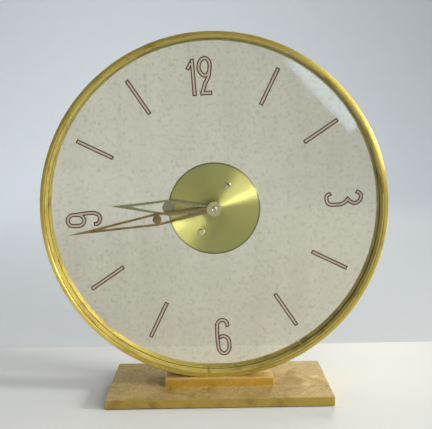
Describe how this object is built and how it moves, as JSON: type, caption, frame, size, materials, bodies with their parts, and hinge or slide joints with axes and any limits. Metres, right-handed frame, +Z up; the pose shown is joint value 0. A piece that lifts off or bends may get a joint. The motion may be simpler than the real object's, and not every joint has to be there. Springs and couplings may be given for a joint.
{
  "type": "desk clock",
  "caption": "Desk clock with a see-through dial held in a round brass hoop on a stepped base, with a hand-wound movement in a round can behind the middle of the dial.",
  "frame": {"origin": "on the table, under the middle of the base", "axes": "+Z up, the dial faces -Y, +X to the right as the dial is read"},
  "size_m": [0.19, 0.061, 0.1991],
  "materials": {
    "base_brass": "satin, tarnished in blotches",
    "hoop_brass": "polished",
    "band_brass": "satin",
    "disc_brass": "circular brushed",
    "movement_brass": "plain",
    "can_brass": "satin",
    "minute_hand_brass": "tarnished",
    "hour_hand_brass": "tarnished",
    "hand_nut_brass": "polished",
    "steel": "plain",
    "felt": "felt",
    "gasket": "vulcanised fibre",
    "dial_glass": "clear, faintly warm",
    "dial_print": "printed enamel"
  },
  "bodies": {
    "root": {"base_plate": "base_brass", "base_step": "base_brass", "felt_pad": "felt", "case_ring": "hoop_brass", "ring_studs": "steel", "stud_washers": "steel", "stud_nuts": "steel", "dial_glass": "dial_glass", "front_retaining_ring": "band_brass", "rear_retaining_ring": "band_brass", "hour_markers": "dial_print", "centre_disc": "disc_brass", "disc_screws": "disc_brass", "glass_gasket": "gasket", "plate_pillars": "movement_brass", "pillar_screws": "steel", "front_plate": "movement_brass", "back_plate": "movement_brass", "movement_can": "can_brass", "hairspring": "steel"},
    "minute_work": {"centre_arbor": "steel", "cannon_pinion": "steel", "minute_hand": "minute_hand_brass", "hand_nut": "hand_nut_brass", "set_knob": "can_brass"},
    "hour_work": {"hour_wheel": "movement_brass", "hour_hand": "hour_hand_brass"},
    "minute_wheel": {"minute_wheel": "movement_brass"},
    "barrel": {"barrel": "movement_brass", "barrel_cover": "movement_brass", "mainspring": "steel"},
    "winding_work": {"barrel_arbor": "steel", "ratchet_wheel": "steel", "winding_key": "can_brass"},
    "click": {"click": "steel"},
    "centre_wheel": {"centre_wheel": "movement_brass"},
    "third_wheel": {"third_wheel": "movement_brass"},
    "fourth_wheel": {"fourth_wheel": "movement_brass"},
    "escape_wheel": {"escape_wheel": "movement_brass"},
    "pallet_lever": {"pallet_lever": "steel"},
    "balance_wheel": {"balance_wheel": "movement_brass"},
    "regulator": {"regulator": "steel"}
  },
  "joints": [
    {"name": "minute_hand_turn", "type": "hinge", "parent": "root", "child": "minute_work", "pos_m": [0, 0.005, 0.1037], "axis": [0, 1, 0], "continuous": true},
    {"name": "hour_hand_turn", "type": "hinge", "parent": "root", "child": "hour_work", "pos_m": [0, 0.005, 0.1037], "axis": [0, 1, 0], "continuous": true},
    {"name": "minute_wheel_turn", "type": "hinge", "parent": "root", "child": "minute_wheel", "pos_m": [0.006, 0.005, 0.1037], "axis": [0, 1, 0], "continuous": true},
    {"name": "fourth_wheel_turn", "type": "hinge", "parent": "root", "child": "fourth_wheel", "pos_m": [0.00215, 0.005, 0.11203], "axis": [0, 1, 0], "continuous": true},
    {"name": "escape_wheel_turn", "type": "hinge", "parent": "root", "child": "escape_wheel", "pos_m": [0.008, 0.005, 0.111], "axis": [0, 1, 0], "continuous": true},
    {"name": "third_wheel_turn", "type": "hinge", "parent": "root", "child": "third_wheel", "pos_m": [-0.0036, 0.005, 0.10994], "axis": [0, 1, 0], "continuous": true},
    {"name": "centre_wheel_turn", "type": "hinge", "parent": "root", "child": "centre_wheel", "pos_m": [0, 0.005, 0.1037], "axis": [0, 1, 0], "continuous": true},
    {"name": "barrel_turn", "type": "hinge", "parent": "root", "child": "barrel", "pos_m": [0, 0.005, 0.0932], "axis": [0, 1, 0], "continuous": true},
    {"name": "winding_key_turn", "type": "hinge", "parent": "root", "child": "winding_work", "pos_m": [0, 0.005, 0.0932], "axis": [0, 1, 0], "range_deg": [0, 1800]},
    {"name": "click_swing", "type": "hinge", "parent": "root", "child": "click", "pos_m": [0.00407, 0.005, 0.09902], "axis": [0, 1, 0], "range_deg": [0, 8]},
    {"name": "pallet_swing", "type": "hinge", "parent": "root", "child": "pallet_lever", "pos_m": [0.01119, 0.005, 0.10833], "axis": [0, 1, 0], "range_deg": [-4, 4]},
    {"name": "balance_swing", "type": "hinge", "parent": "root", "child": "balance_wheel", "pos_m": [0.01655, 0.005, 0.10383], "axis": [0, 1, 0], "range_deg": [-150, 150]},
    {"name": "regulator_swing", "type": "hinge", "parent": "root", "child": "regulator", "pos_m": [0.01655, 0.005, 0.10383], "axis": [0, 1, 0], "range_deg": [-15, 15]}
  ],
  "couplings": [
    {"joint": "hour_hand_turn", "follows": "minute_hand_turn", "ratio": 0.083333},
    {"joint": "minute_wheel_turn", "follows": "minute_hand_turn", "ratio": -0.33333},
    {"joint": "escape_wheel_turn", "follows": "fourth_wheel_turn", "ratio": -10},
    {"joint": "third_wheel_turn", "follows": "fourth_wheel_turn", "ratio": -0.13333},
    {"joint": "centre_wheel_turn", "follows": "fourth_wheel_turn", "ratio": 0.016667},
    {"joint": "barrel_turn", "follows": "fourth_wheel_turn", "ratio": -0.0027778}
  ]
}
